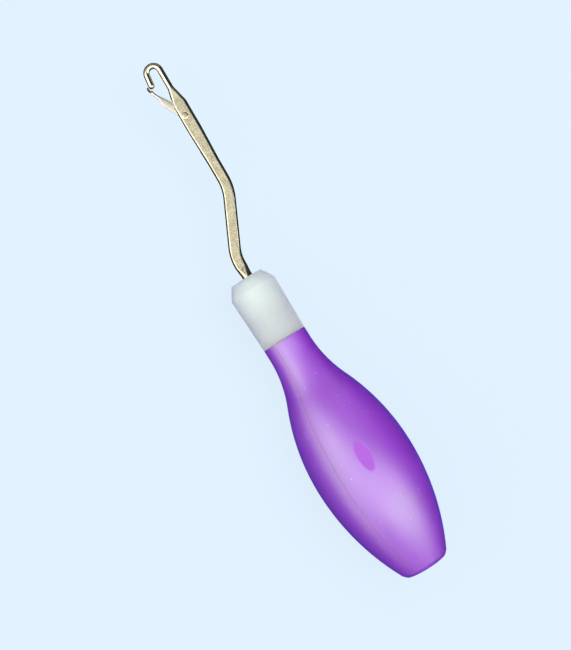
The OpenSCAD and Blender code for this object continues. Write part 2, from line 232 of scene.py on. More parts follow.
def purple_plastic():
    material, tree = new_finish("moulded_purple_abs")
    where = add(tree, "ShaderNodeTexCoord").outputs["Object"]
    cloud = noise(tree, where, 60, 3.0)
    grain = noise(tree, where, 2800, 2.0)
    dust = noise(tree, where, 1500, 1.0)
    body = ramp(tree, cloud, (0.3, linear("#9832C6")), (0.7, linear("#A03AD0")))
    specks = ramp(tree, dust, (0.74, (0, 0, 0, 1)), (0.79, (0.6, 0.6, 0.6, 1)))
    dusty = blend_colours(tree, specks, body, linear("#E6DCF2"))
    centre = to_frame((MARK_X, MARK_R * math.sin(MARK_TURN), MARK_R * math.cos(MARK_TURN)))
    radii = (MARK_LONG / 2000, MARK_WIDE / 2000, MARK_REACH / 1000)
    # Inside the oval the purple is deeper and duller with less coat: a painted dark reflection in the
    # highlight
    inside = stretch(tree, reach_from(tree, where, centre, radii), 0.9, 1.06, 1.0, 0.0)
    skin = {
        "Base Color": blend_colours(tree, inside, dusty, linear("#A234C8")),
        "Roughness": blend(tree, inside, stretch(tree, cloud, 0.3, 0.7, 0.4, 0.48), 0.8),
        "IOR": 1.8, "Specular IOR Level": 1.0, "Specular Tint": GREEN_SHINE,
        "Coat Weight": stretch(tree, inside, 0.0, 1.0, 1.0, 0.3), "Coat Roughness": 0.5, "Coat IOR": 1.5,
        "Subsurface Weight": 0.6, "Subsurface Radius": (0.0006, 0.0005, 0.0025), "Subsurface Scale": 1.0,
        "Sheen Weight": 0.6, "Sheen Roughness": 0.45, "Sheen Tint": BLUE_SHEEN}
    close_finish(tree, skin, grain, 0.012)
    return material


purple = purple_plastic()
print("finish:", purple.name)

# %% [markdown]
# The ferrule is polypropylene with no dye, so it is milky: light goes far in and comes out again, which
# evens out its shading. The subsurface radius of 12 mm is nearly the ferrule's width. The surface is
# satin, with faint turning lines as from a mould that was turned on a lathe, and a white sheen keeps the
# edges pale.

# %% Milky polypropylene
MILKY_RADIUS = (0.012, 0.0125, 0.012)


def milky_plastic():
    material, tree = new_finish("milky_polypropylene")
    where = add(tree, "ShaderNodeTexCoord").outputs["Object"]
    cloud = noise(tree, where, 160, 2.0)
    grain = noise(tree, where, 1800, 2.0)
    lines = add(tree, "ShaderNodeTexWave", {"wave_type": "BANDS", "bands_direction": "X"},
                {"Vector": where, "Scale": 700, "Distortion": 0.6, "Detail": 1.0}).outputs["Fac"]
    skin = {
        "Base Color": ramp(tree, cloud, (0.25, linear("#C0CCC2")), (0.75, linear("#C8D3C9"))),
        "Roughness": 0.6, "IOR": 1.49, "Specular IOR Level": 0.2,
        "Subsurface Weight": 1.0, "Subsurface Radius": MILKY_RADIUS, "Subsurface Scale": 1.0,
        "Sheen Weight": 0.9, "Sheen Roughness": 0.6}
    close_finish(tree, skin, blend(tree, 0.35, grain, lines), 0.006)
    return material


milky = milky_plastic()
print("finish:", milky.name)

# %% [markdown]
# The shank is steel wire, pressed flat in a die and then plated with nickel. Nickel is a warm white
# metal. The die leaves a fine pitted grain on the flats, of a few tenths of a millimetre, so they glitter
# a little where the round wire stays bright. The same tree with other values serves the thinner latch.

# %% Plated steel
WIRE_SHARE = 0.15


def plated_steel(name, light, dark, roughness, pit_mm, face_mm):
    material, tree = new_finish(name)
    where = add(tree, "ShaderNodeTexCoord").outputs["Object"]
    cloud = noise(tree, where, 420, 4.0)
    pits = noise(tree, where, 2200, 3.0)
    # 1 on the two flats that the die touched, and only a small share on the round wire
    height = add(tree, "ShaderNodeSeparateXYZ", {}, {0: where}).outputs["Z"]
    above = calc(tree, "ABSOLUTE", calc(tree, "SUBTRACT", height, JOINT.z / 1000))
    flat = stretch(tree, above, (face_mm - 0.08) / 1000, (face_mm - 0.02) / 1000, WIRE_SHARE, 1.0)
    worn = stretch(tree, blend(tree, 0.6, cloud, pits), 0.6, 0.4, 0.0, 1.0)
    stained = calc(tree, "MULTIPLY", worn, flat)
    skin = {
        "Base Color": blend_colours(tree, stained, linear(light), linear(dark)), "Metallic": 1.0,
        "Roughness": stretch(tree, stained, 0.0, 1.0, roughness * 0.8, roughness * 1.3)}
    close_finish(tree, skin, calc(tree, "MULTIPLY", pits, flat), pit_mm)
    return material


steel = plated_steel("nickel_plated_wire", "#D9D2B6", "#AAA082", 0.22, 0.007, 1.1)
pale_steel = plated_steel("nickel_plated_sheet", "#DBD3C6", "#C4BBA8", 0.24, 0.006, 0.4)
print("finishes:", steel.name, pale_steel.name)

# %% [markdown]
# ## The grip
#
# The grip's outline follows a rule: a straight neck, a hollow arc, and two arcs over the belly, each
# tangent to the next. A rule is what Geometry Nodes are good at. The tree below is a function of three
# shares, from 0 to 1: how far along the grip, how far round the shell, and how deep in the wall. Six
# grids go through that one function and close the shell: the skin, the inside, two seam faces and two
# ends. The two shells are the same tree with another starting angle, as they would be from one mould.

# %% The grip's sizes
GRIP_LEN = 77.0
NECK_R = 6.8
NECK_LEN = 3.0
NECK_ARC = 36.0
BELLY_R = 15.25
FRONT_ARC = 64.5
BUTT_R = 7.0
BUTT_EDGE = 0.45
WALL = 2.4
SEAM_TURN = math.radians(31)
SEAM_GAP = 0.01
SEAM_EDGE = 0.03
PLUG_R = 4.5
PLUG_SEAT_R = PLUG_R + 0.03

lift = NECK_R + NECK_ARC - BELLY_R + FRONT_ARC
run = math.sqrt((NECK_ARC + FRONT_ARC) ** 2 - lift ** 2)
BELLY_X = NECK_LEN + run
MEET_X = NECK_LEN + NECK_ARC * run / (NECK_ARC + FRONT_ARC)
REAR_ARC = ((GRIP_LEN - BELLY_X) ** 2 + (BELLY_R - BUTT_R) ** 2) / (2 * (BELLY_R - BUTT_R))
print("belly at", round(BELLY_X, 2), "arcs meet at", round(MEET_X, 2), "rear arc", round(REAR_ARC, 1))

SIZES = {
    "Grip length": GRIP_LEN, "Neck radius": NECK_R, "Neck length": NECK_LEN, "Neck arc": NECK_ARC,
    "Belly radius": BELLY_R, "Belly place": BELLY_X, "Meeting place": MEET_X, "Front arc": FRONT_ARC,
    "Rear arc": REAR_ARC, "Butt radius": BUTT_R, "Butt edge": BUTT_EDGE, "Wall": WALL,
    "Least bore": PLUG_SEAT_R, "Mark place": MARK_X, "Mark angle": MARK_TURN,
    "Mark half length": MARK_LONG / 2, "Mark half width": MARK_WIDE / 2, "Mark depth": MARK_DEPTH,
    "Start angle": -SEAM_TURN, "Span": math.pi}

# %% [markdown]
# A few Math nodes give one arc: its height at a distance x, for a circle whose middle lies at a given
# place. The belly's arcs stand above a middle below the axis, and the neck's hollow arc hangs below one
# outside the grip. Comparing x with the places where the arcs meet picks the one that is in force.

# %% A point of the grip, as a node group
def arc_height(tree, x, middle, radius):
    aside = calc(tree, "SUBTRACT", x, middle)
    square = calc(tree, "MULTIPLY", aside, aside)
    room = calc(tree, "SUBTRACT", calc(tree, "MULTIPLY", radius, radius), square)
    return calc(tree, "SQRT", calc(tree, "MAXIMUM", room, 0.0))


def grip_radius(group, given, x):
    outside = calc(group, "ADD", given["Neck radius"], given["Neck arc"])
    hollow = calc(group, "SUBTRACT", outside, arc_height(group, x, given["Neck length"], given["Neck arc"]))
    arcs = [(given["Neck length"], hollow)]
    for start, name in (("Meeting place", "Front arc"), ("Belly place", "Rear arc")):
        below = calc(group, "SUBTRACT", given["Belly radius"], given[name])
        height = arc_height(group, x, given["Belly place"], given[name])
        arcs.append((given[start], calc(group, "ADD", below, height)))
    radius = given["Neck radius"]
    for start, arc in arcs:
        radius = blend(group, calc(group, "GREATER_THAN", x, start), radius, arc)
    # The chamfer at the butt
    left = calc(group, "SUBTRACT", given["Grip length"], x)
    room = calc(group, "SUBTRACT", given["Butt radius"], given["Butt edge"])
    return calc(group, "MINIMUM", radius, calc(group, "ADD", room, left))


def mark_dip(group, given, x, radius, angle):
    # The shallow oval, whose depth runs out to nothing at its edge
    along = calc(group, "SUBTRACT", x, given["Mark place"])
    along = calc(group, "DIVIDE", along, given["Mark half length"])
    aside = calc(group, "MULTIPLY", radius, calc(group, "SUBTRACT", angle, given["Mark angle"]))
    aside = calc(group, "DIVIDE", aside, given["Mark half width"])
    reach = calc(group, "ADD", calc(group, "MULTIPLY", along, along), calc(group, "MULTIPLY", aside, aside))
    dip = calc(group, "MAXIMUM", calc(group, "SUBTRACT", 1.0, reach), 0.0)
    return calc(group, "MULTIPLY", dip, given["Mark depth"])


def grip_point_group():
    group = bpy.data.node_groups.new("grip_point", "GeometryNodeTree")
    face = group.interface
    for name in ("Along", "Around", "Deep", *SIZES):
        face.new_socket(name=name, in_out="INPUT", socket_type="NodeSocketFloat")
    face.new_socket(name="Point", in_out="OUTPUT", socket_type="NodeSocketVector")
    given = add(group, "NodeGroupInput").outputs
    x = calc(group, "MULTIPLY", given["Along"], given["Grip length"])
    radius = grip_radius(group, given, x)
    turned = calc(group, "MULTIPLY", given["Around"], given["Span"])
    angle = calc(group, "ADD", given["Start angle"], turned)
    outer = calc(group, "SUBTRACT", radius, mark_dip(group, given, x, radius, angle))
    inner = calc(group, "MAXIMUM", calc(group, "SUBTRACT", radius, given["Wall"]), given["Least bore"])
    at = blend(group, given["Deep"], outer, inner)
    y = calc(group, "MULTIPLY", at, calc(group, "SINE", angle))
    z = calc(group, "MULTIPLY", at, calc(group, "COSINE", angle))
    point = add(group, "ShaderNodeCombineXYZ", {}, {0: x, 1: y, 2: z})
    add(group, "NodeGroupOutput", {}, {"Point": point.outputs[0]})
    return group


point_group = grip_point_group()
print("node group:", point_group.name, "with", len(point_group.nodes), "nodes")


# %% [markdown]
# The shell's tree sends six grids through the group. A grid of size 1 is centred on zero, so its own
# position plus a half gives the two shares. The points are still in millimetres from the joint, and a
# Transform node takes them to the model's place in metres.

# %% The shell's tree
STEPS_ALONG = 281
STEPS_AROUND = 111


def shell_tree():
    tree = bpy.data.node_groups.new("grip_shell", "GeometryNodeTree")
    face = tree.interface
    for name in SIZES:
        socket = face.new_socket(name=name, in_out="INPUT", socket_type="NodeSocketFloat")
        socket.default_value = SIZES[name]
    for name, value in (("Steps along", STEPS_ALONG), ("Steps around", STEPS_AROUND)):
        socket = face.new_socket(name=name, in_out="INPUT", socket_type="NodeSocketInt")
        socket.default_value = value
    face.new_socket(name="Finish", in_out="INPUT", socket_type="NodeSocketMaterial")
    face.new_socket(name="Shell", in_out="OUTPUT", socket_type="NodeSocketGeometry")
    given = add(tree, "NodeGroupInput").outputs
    place = add(tree, "ShaderNodeSeparateXYZ", {}, {0: add(tree, "GeometryNodeInputPosition").outputs[0]})
    u = calc(tree, "ADD", place.outputs["X"], 0.5)
    v = calc(tree, "ADD", place.outputs["Y"], 0.5)
    join = add(tree, "GeometryNodeJoinGeometry")
    long, wide = given["Steps along"], given["Steps around"]
    for along, around, deep, columns, rows in (
            (u, v, 0.0, long, wide), (u, v, 1.0, long, wide),
            (u, 0.0, v, long, 2), (u, 1.0, v, long, 2),
            (0.0, v, u, 2, wide), (1.0, v, u, 2, wide)):
        grid = add(tree, "GeometryNodeMeshGrid", {},
                   {"Size X": 1.0, "Size Y": 1.0, "Vertices X": columns, "Vertices Y": rows})
        shares = {"Along": along, "Around": around, "Deep": deep}
        sizes = {name: given[name] for name in SIZES}
        point = add(tree, "GeometryNodeGroup", {"node_tree": point_group}, {**shares, **sizes})
        moved = add(tree, "GeometryNodeSetPosition", {},
                    {"Geometry": grid.outputs["Mesh"], "Position": point.outputs["Point"]})
        tree.links.new(moved.outputs[0], join.inputs[0])
    real = add(tree, "GeometryNodeRealizeInstances", {}, {0: join.outputs[0]})
    placed = add(tree, "GeometryNodeTransform", {},
                 {"Geometry": real.outputs[0], "Translation": JOINT / 1000, "Scale": (0.001, 0.001, 0.001)})
    closed = add(tree, "GeometryNodeMergeByDistance", {}, {0: placed.outputs[0], "Distance": SAME_POINT})
    finished = add(tree, "GeometryNodeSetMaterial", {},
                   {"Geometry": closed.outputs[0], "Material": given["Finish"]})
    add(tree, "NodeGroupOutput", {}, {0: finished.outputs[0]})
    return tree


def grow(name, tree, values):
    piece = bpy.data.objects.new(name, bpy.data.meshes.new(name))
    bpy.context.scene.collection.objects.link(piece)
    modifier = piece.modifiers.new("grow", "NODES")
    modifier.node_group = tree
    for item in tree.interface.items_tree:
        if item.in_out == "INPUT" and item.name in values:
            modifier[item.identifier] = values[item.name]
    settle(piece)
    face_outwards(piece.data)
    return piece


shell = shell_tree()
print("tree:", shell.name, "with", len(shell.nodes), "nodes")

# %% [markdown]
# The right shell starts at the seam, 31 degrees from the top, and runs over the crank's side. The left
# one starts half a turn on, and has no oval. The gap at the seam is a hundredth of a millimetre, given as
# an angle at the belly. A small bevel rounds the edges as a mould does, so the seam draws a faint line.

# %% The two shells
seam_angle = SEAM_GAP / 2 / BELLY_R
for name, node, turn, depth in (("grip_right", "grip_shell_right", 0.0, MARK_DEPTH),
                                ("grip_left", "grip_shell_left", math.pi, 0.0)):
    shell_piece = grow(name, shell, {
        "Start angle": turn - SEAM_TURN + seam_angle, "Span": math.pi - 2 * seam_angle,
        "Mark depth": depth, "Finish": purple})
    soften_edges(shell_piece, SEAM_EDGE)
    set_piece(shell_piece, purple, "handle", node, sharp=40)

# %% [markdown]
# ## Turned pieces
#
# The ferrule, the butt plug and the rivet are round. Each is a list of rings, given as a place on the
# axis, a radius and how far the ring's middle lies off the axis. Skinning the rings in turn closes the
# shape, and a corner is drawn with a few close rings, which reads as a moulded edge.

# %% Skin a list of rings
def skin_rings(rings, closed=False):
    count = len(rings[0])
    points = [p for ring in rings for p in ring]
    faces = []
    pairs = len(rings) if closed else len(rings) - 1
    for i in range(pairs):
        a, b = i * count, (i + 1) % len(rings) * count
        for j in range(count):
            k = (j + 1) % count
            faces.append((a + j, a + k, b + k, b + j))
    if not closed:
        faces.append(tuple(reversed(range(count))))
        faces.append(tuple(range(len(points) - count, len(points))))
    return points, faces


def circle(radius, count):
    turns = [2 * math.pi * j / count for j in range(count)]
    return [(radius * math.cos(a), radius * math.sin(a)) for a in turns]


def x_ring(x, radius, off=0.0, count=128):
    return [(x, off + y, z) for z, y in circle(radius, count)]


def corner(x, radius, size, start, end, steps=5):
    # A rounded corner: an arc of the given size round (x, radius), between two angles from +X
    turns = [math.radians(start + (end - start) * i / steps) for i in range(steps + 1)]
    return [(x + size * math.cos(a), radius + size * math.sin(a)) for a in turns]


# %% [markdown]
# The ferrule's bore lies a little off its axis, because the shank does. The front has a wide chamfer, and
# the barrel narrows slightly to the grip.

# %% The ferrule
FACE_X = -20.7
BARREL_R = 7.1
STUB_OFF = 0.6
STUB_R = 1.55
STUB_IN = 11.7
BORE_R = STUB_R + 0.03
BORE_LEN = 9.0
SEAT_R = 4.93


def ferrule_rings():
    bore = [(FACE_X + BORE_LEN, BORE_R), (FACE_X + 0.25, BORE_R), (FACE_X + 0.08, BORE_R + 0.08),
            (FACE_X, BORE_R + 0.3)]
    front = [(FACE_X, 4.7)] + corner(FACE_X + 0.4, 4.76, 0.4, 180, 120)
    front += corner(-16.85, 6.62, 0.6, 120, 91, 6)
    barrel = [(-12.0, BARREL_R), (-6.0, 6.96), (-0.25, 6.82)] + corner(-0.23, 6.6, 0.2, 80, 0, 4)
    inside = [(-0.03, SEAT_R), (-9.03, SEAT_R)]
    return [x_ring(x, r, STUB_OFF) for x, r in bore] + [x_ring(x, r) for x, r in front + barrel + inside]


ferrule = make_piece("ferrule_collar", *skin_rings(ferrule_rings(), closed=True))
set_piece(ferrule, milky, "handle", "ferrule", sharp=50)

# %% [markdown]
# The plug sits flush in the butt. It has a rounded rim, and a shallow dimple in its middle, where the
# plastic went into the mould. A barb on its stem holds it in.

# %% The butt plug
PLUG_FACE_X = GRIP_LEN - 0.02


def plug_rings():
    face_x = PLUG_FACE_X
    stem = [(70.0, 2.6), (70.2, 3.0), (71.4, 3.25), (71.5, 3.0), (75.4, 3.0), (75.4, PLUG_R)]
    rim = [(face_x - 0.25, PLUG_R)] + corner(face_x - 0.22, PLUG_R - 0.22, 0.22, 80, 10, 4)
    face = [(face_x, PLUG_R - 0.3), (face_x, 1.25)]
    dimple = [(face_x - 0.05, 1.05), (face_x - 0.22, 0.75), (face_x - 0.28, 0.3)]
    return [x_ring(x, r, 0.0, 96) for x, r in stem + rim + face + dimple]


plug = make_piece("butt_plug_head", *skin_rings(plug_rings()))
set_piece(plug, purple, "handle", "butt_plug", sharp=50)

# %% [markdown]
# ## The shank
#
# The shank is one length of wire that was bent and then pressed. Its section changes all the time: round
# at the ferrule, flat with bulged sides along the crank, wider at the cheek and round again at the hook.
# A curve with a bevel can't do that. So a path of short steps is laid first, and a section of 72 points
# is set square on it at each step. Width, thickness and the radius of the sides are enough to describe
# every section from the flat bar to the round wire.

# %% The shank's path
BAR_W, BAR_T, SIDE_R = 3.6, 2.2, 1.33
CHEEK_W = 4.3
WIRE_R = 0.9
CRANK = math.radians(26.3)
CRANK_STEP = 9.0
BEND_1_R, BEND_2_R = 12.5, 15.0
LEAN = math.radians(1.85)
FLARE = math.radians(8.5)
BOW_R = 2.08
LEG_LEN = 3.2
STUB_OUT = 6.7
ELBOW_1 = Vector((FACE_X - STUB_OUT, STUB_OFF))
ELBOW_2 = ELBOW_1 + Vector((-CRANK_STEP / math.tan(CRANK), CRANK_STEP))
HOOK_X = -88.0
HOOK_PROUD = 0.02
# The pivot's place: back from the hook's front, and aside from the middle of the bar
PIVOT_BACK = 18.3
PIVOT_ASIDE = 0.42
PATH_STEP = 0.35


def toward(way):
    return Vector((math.cos(way), math.sin(way)))


trim_1 = BEND_1_R * math.tan(CRANK / 2)
trim_2 = BEND_2_R * math.tan((CRANK - LEAN) / 2)
bow_run = (ELBOW_2.x - HOOK_X - WIRE_R - HOOK_PROUD - BOW_R * (1 + math.sin(LEAN))) / math.cos(LEAN)
pivot_run = (ELBOW_2.x - HOOK_X - PIVOT_BACK) / math.cos(LEAN)
PIVOT = ELBOW_2 + toward(math.pi - LEAN) * pivot_run
PIVOT -= PIVOT_ASIDE * Vector((math.sin(LEAN), math.cos(LEAN)))
crank_run = (ELBOW_2 - ELBOW_1).length - trim_1 - trim_2
# Each leg of the path: its length, and how far it turns to the left
LEGS = [(STUB_IN + STUB_OUT - trim_1, 0), (BEND_1_R * CRANK, -CRANK), (crank_run, 0),
        (BEND_2_R * (CRANK - LEAN), CRANK - LEAN), (bow_run - trim_2, 0),
        (BOW_R * (math.pi + LEAN - FLARE), math.pi + LEAN - FLARE), (LEG_LEN, 0)]
front_start = sum(length for length, turn in LEGS[:4]) - trim_2
path_len = sum(length for length, turn in LEGS)
print("path in mm:", round(path_len, 2), "pivot at", [round(c, 3) for c in PIVOT])


def leg_point(start, way, length, turn, s):
    # The point at a distance s along a leg, which is straight or an arc
    if not turn:
        return start + s * toward(way)
    side = math.pi / 2
    return start + length / turn * (toward(way + turn * s / length - side) - toward(way - side))


def lay_path(start, way):
    places = []
    done = 0.0
    for length, turn in LEGS:
        count = max(2, math.ceil(length / PATH_STEP))
        for i in range(count):
            s = length * i / count
            places.append((done + s, leg_point(start, way, length, turn, s), way + turn * s / length))
        start = leg_point(start, way, length, turn, length)
        way += turn
        done += length
    places.append((done, start, way))
    return places


# %% [markdown]
# The section's edge is found by a ray from its middle: it stops at the flat face or at the bulged side,
# whichever comes first. A soft minimum rounds the corner between the two by about a tenth of a
# millimetre. The path's steps are a third of a millimetre, which keeps the bends smooth.

# %% The shank's section
CORNER_SOFT = 0.05
SECTION_COUNT = 72
# Where the section changes: near the first bend, and behind and ahead of the pivot
PRESSED = (-3.4, 0.4)
CHEEK_GROWS = (-15.5, -5.1)
CHEEK_TAPERS = (3.9, 9.1)


def soft_least(a, b, soft):
    h = max(0.0, min(1.0, 0.5 + 0.5 * (b - a) / soft))
    return b + (a - b) * h - soft * h * (1 - h)


def section(width, thick, side_r):
    edge = []
    for j in range(SECTION_COUNT):
        a = 2 * math.pi * (j + 0.5) / SECTION_COUNT
        c, s = abs(math.cos(a)), abs(math.sin(a))
        off = width / 2 - side_r
        side = off * c + math.sqrt(max(side_r ** 2 - (off * s) ** 2, 0))
        if side * c < off:
            side = side_r / s
        flat = thick / 2 / max(s, 1e-6)
        reach = soft_least(side, flat, CORNER_SOFT) if thick < 2 * side_r - 1e-3 else side
        edge.append((reach * math.cos(a), reach * math.sin(a)))
    return edge


def share(s, start, end):
    return max(0.0, min(1.0, (s - start) / (end - start)))


def ease(s, start, end):
    t = share(s, start, end)
    return t * t * (3 - 2 * t)


def shank_sizes(s):
    first_bend = LEGS[0][0]
    pressed = ease(s, first_bend + PRESSED[0], first_bend + PRESSED[1])
    width = 2 * STUB_R + (BAR_W - 2 * STUB_R) * pressed
    thick = 2 * STUB_R + (BAR_T - 2 * STUB_R) * pressed
    side = STUB_R + (SIDE_R - STUB_R) * pressed
    f = s - front_start
    width += (CHEEK_W - BAR_W) * share(f, pivot_run + CHEEK_GROWS[0], pivot_run + CHEEK_GROWS[1])
    ahead = share(f, pivot_run + CHEEK_TAPERS[0], pivot_run + CHEEK_TAPERS[1])
    # The section turns round a little later than it turns narrow
    round_off = ahead ** 1.15
    width += (2 * WIRE_R - CHEEK_W) * ahead
    thick += (2 * WIRE_R - BAR_T) * round_off
    side += (WIRE_R - SIDE_R) * round_off
    return width, thick, side


def set_section(point, way, edge):
    left = toward(way + math.pi / 2)
    return [(point.x + a * left.x, point.y + a * left.y, b) for a, b in edge]


def shank_rings():
    rings = []
    for s, point, way in lay_path(Vector((FACE_X + STUB_IN, STUB_OFF)), math.pi):
        rings.append(set_section(point, way, section(*shank_sizes(s))))
    # The tip is a half ball, whose last ring stops just short of its pole
    for i in range(1, 9):
        a = math.pi / 2 * min(i / 8, 0.985)
        small = WIRE_R * math.cos(a)
        tip = section(2 * small, 2 * small, small)
        rings.append(set_section(point + WIRE_R * math.sin(a) * toward(way), way, tip))
    return rings


shank = make_piece("hook_shank_steel", *skin_rings(shank_rings()))
print("shank points:", len(shank.data.vertices))

# %% [markdown]
# The cheek has a slot that is open on the throat's side, so that the latch can fold back against the bar.
# The slot's cutter is the area that the blade sweeps: two edges that touch a circle round the pivot,
# and the arc between them.

# %% The slot in the cheek
BLADE_R = 1.05
BLADE_T = 0.8
SLOT_R = BLADE_R + 0.15
SLOT_T = BLADE_T + 2 * 0.06
SLOT_FRONT, SLOT_REAR = 12, 11.3
LATCH_SLOPE = math.radians(24.9916)
# The blade's two end positions, as angles from the front bar
CLOSED = LATCH_SLOPE - math.radians(1) - LEAN
BACK = math.radians(12)


def prism(outline, low, high):
    count = len(outline)
    points = [(x, y, low) for x, y in outline] + [(x, y, high) for x, y in outline]
    sides = [(i, (i + 1) % count, count + (i + 1) % count, count + i) for i in range(count)]
    return points, sides + [tuple(reversed(range(count))), tuple(range(count, 2 * count))]


def slot_outline():
    arc = [math.pi / 2 + CLOSED - (CLOSED + BACK) * i / 10 for i in range(11)]
    edge = [Vector((SLOT_R * math.cos(a), SLOT_R * math.sin(a))) for a in arc]
    front_out = edge[0] + SLOT_FRONT * Vector((-math.cos(CLOSED), -math.sin(CLOSED)))
    rear_out = edge[-1] + SLOT_REAR * Vector((math.cos(BACK), -math.sin(BACK)))
    around = [front_out] + edge + [rear_out, Vector((rear_out.x, front_out.y))]
    turn = Matrix.Rotation(-LEAN, 2)
    return [PIVOT + turn @ p for p in around]


cut_away(shank, make_piece("slot_cutter", *prism(slot_outline(), -SLOT_T / 2, SLOT_T / 2)))
set_piece(shank, steel, "handle", "hook_shank", sharp=38)

# %% [markdown]
# ## The latch and its rivet
#
# The latch is stamped from thin sheet. It is flat where it turns in the slot, narrows to a neck as thin
# as a pin, and ends in a spoon that comes down over the hook's tip, so that yarn slides over it. It is
# drawn from its pivot along its own length and turned to its slope at the end.

# %% The latch's blade and neck
LATCH_LEN = 13.6973
SPOON_W, SPOON_H, SPOON_WALL, SPOON_DROP = 2.6, 0.8, 0.34, 0.04
SPOON_S = LATCH_LEN - SPOON_W / 2
SPOON_R = ((SPOON_W / 2) ** 2 + SPOON_H ** 2) / (2 * SPOON_H)
PIVOT_HOLE_R = 0.63
NECK_W = 0.64
NECK_OUT = 0.16
# Along the latch: where it narrows, where its corners are rounded, and where it thins out on the spoon
NARROWS = (6.4, 9.9)
ROUNDS = (7.4, 9.4)
THINS = (11.4, SPOON_S - 0.15)


def on_latch(x, y, z):
    p = PIVOT + Matrix.Rotation(math.pi + LATCH_SLOPE, 2) @ Vector((x, y))
    return (p.x, p.y, z)


def round_bar(top, bottom, thick, radius, steps=4):
    # A rectangle with rounded corners, as (across, up) points
    radius = min(radius, thick / 2 - 1e-3, (top - bottom) / 2 - 1e-3)
    high, low = thick / 2 - radius, radius - thick / 2
    corners = ((top - radius, high), (bottom + radius, high), (bottom + radius, low), (top - radius, low))
    points = []
    for start, (cx, cz) in zip((0, 90, 180, 270), corners):
        for i in range(steps + 1):
            a = math.radians(start + 90 * i / steps)
            points.append((cx + radius * math.cos(a), cz + radius * math.sin(a)))
    return points


def blade_ring(x):
    narrow = ease(x, *NARROWS)
    half = math.sqrt(max(BLADE_R ** 2 - min(x, 0) ** 2, 0.02))
    top = half * (1 - narrow) + NECK_OUT * narrow
    bottom = -half * (1 - narrow) - (SPOON_DROP + NECK_W) * narrow
    rounded = ease(x, *ROUNDS)
    thick = BLADE_T - 0.12 * rounded
    radius = 0.07 + 0.26 * rounded
    # The neck thins out on the spoon's back and ends at its crown
    last = share(x, *THINS)
    top -= (0.18 + SPOON_DROP) * last
    bottom += (NECK_W - 0.3) * last
    thick -= 0.34 * last
    radius -= 0.1 * last
    return [on_latch(x, across, up) for across, up in round_bar(top, bottom, thick, radius)]


back_end = [-BLADE_R * math.cos(math.pi / 2 * i / 12) for i in range(1, 12)]
along = [-BLADE_R * 0.999] + back_end + [0.3 * i for i in range(0, 41)] + [THINS[1]]
blade = make_piece("latch_blade", *skin_rings([blade_ring(x) for x in along]))
rim = [on_latch(x, y, 0)[:2] for x, y in circle(PIVOT_HOLE_R, 36)]
cut_away(blade, make_piece("pivot_cutter", *prism(rim, -1, 1)))
set_piece(blade, pale_steel, "latch", "latch", sharp=45)

# %% [markdown]
# The spoon is a shallow bowl. Its rings run down the outside from the back, round the rim and up the
# inside, which closes the wall. The bowl opens towards the hook.

# %% The spoon
SPOON_POLE = 0.02


def arch(radius, end, steps):
    # An arc from the pole down to an angle, as (radius, up) points
    turns = [end * i / steps for i in range(steps + 1)]
    return [(radius * math.sin(a), radius * math.cos(a)) for a in turns]


def spoon_rings():
    centre = -SPOON_DROP - SPOON_R
    low = SPOON_R - SPOON_H
    inner_r = SPOON_R - SPOON_WALL
    outside = arch(SPOON_R, math.acos(low / SPOON_R), 14)
    inside = arch(inner_r, math.acos(low / inner_r), 12)
    edge_out, edge_in = outside[-1][0], inside[-1][0]
    rim = [(edge_out - 0.02, low + 0.06), (edge_out - 0.08, low + 0.01), ((edge_out + edge_in) / 2, low),
           (edge_in + 0.05, low + 0.02)]
    outline = outside[:-1] + rim + inside[-2::-1]
    # Both faces stop just short of the pole, which a small cap closes
    outline[0] = (SPOON_POLE, outline[0][1])
    outline[-1] = (SPOON_POLE, outline[-1][1])
    return [[on_latch(SPOON_S + x, centre + up, z) for x, z in circle(radius, 48)]
            for radius, up in outline]


spoon = make_piece("latch_spoon", *skin_rings(spoon_rings()))
set_piece(spoon, pale_steel, "latch", "latch", sharp=60)

# %% [markdown]
# The rivet's two ends are hammered over on the cheeks. A hammered head is a low dome with a slightly
# flattened top, and a dark line round it shows that it is a piece of its own.

# %% The rivet
RIVET_R = 0.6


def rivet_rings():
    cheek = BAR_T / 2 + 0.03
    dome = [(0.92, cheek), (0.95, cheek + 0.02), (0.9, cheek + 0.045), (0.76, cheek + 0.07),
            (0.55, cheek + 0.09), (0.3, cheek + 0.104), (0.08, cheek + 0.108)]
    stem = [(RIVET_R, cheek), (RIVET_R, -cheek)]
    outline = dome[::-1] + stem + [(r, -z) for r, z in dome]
    return [[(PIVOT.x + x, PIVOT.y + y, z) for x, y in circle(radius, 48)]
            for radius, z in outline]


rivet = make_piece("rivet_heads", *skin_rings(rivet_rings()))
set_piece(rivet, steel, "handle", "latch_rivet", sharp=50)

# %% [markdown]
# The block inside the grip can't be seen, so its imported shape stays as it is. It still gets a finish of
# its own, the plain creamy colour of plastic with no dye.

# %% The block inside the grip
def natural_plastic():
    material, tree = new_finish("natural_nylon")
    where = add(tree, "ShaderNodeTexCoord").outputs["Object"]
    grain = noise(tree, where, 900, 3.0)
    body = ramp(tree, grain, (0.0, linear("#D8D2C0")), (1.0, linear("#E6E1D2")))
    close_finish(tree, {"Base Color": body, "Roughness": 0.55, "IOR": 1.53}, grain, 0.01)
    return material


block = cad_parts["tang_block"]
block.data.materials.clear()
block.data.materials.append(natural_plastic())
print("kept as packed:", block.name)

# %% [markdown]
# ## The scene
#
# The photograph was taken from straight above, on a plain pale blue ground. The camera looks down along
# -Z, turned so that the tool leans as it does there, and stands 450 mm above the tool's middle plane,
# which gives the same slight perspective. The lens follows from that distance: 1560 pixels of focal
# length in a picture 650 pixels high, on a sensor as wide as the picture is high.

# %% The camera
TOOL_WAY = Vector((0.53113, 0.84729))
VIEW = Vector((2.27, 2.45, 465.25)) / 1000
SENSOR = 36
FOCAL_PIXELS = 1560
PICTURE_PIXELS = 650

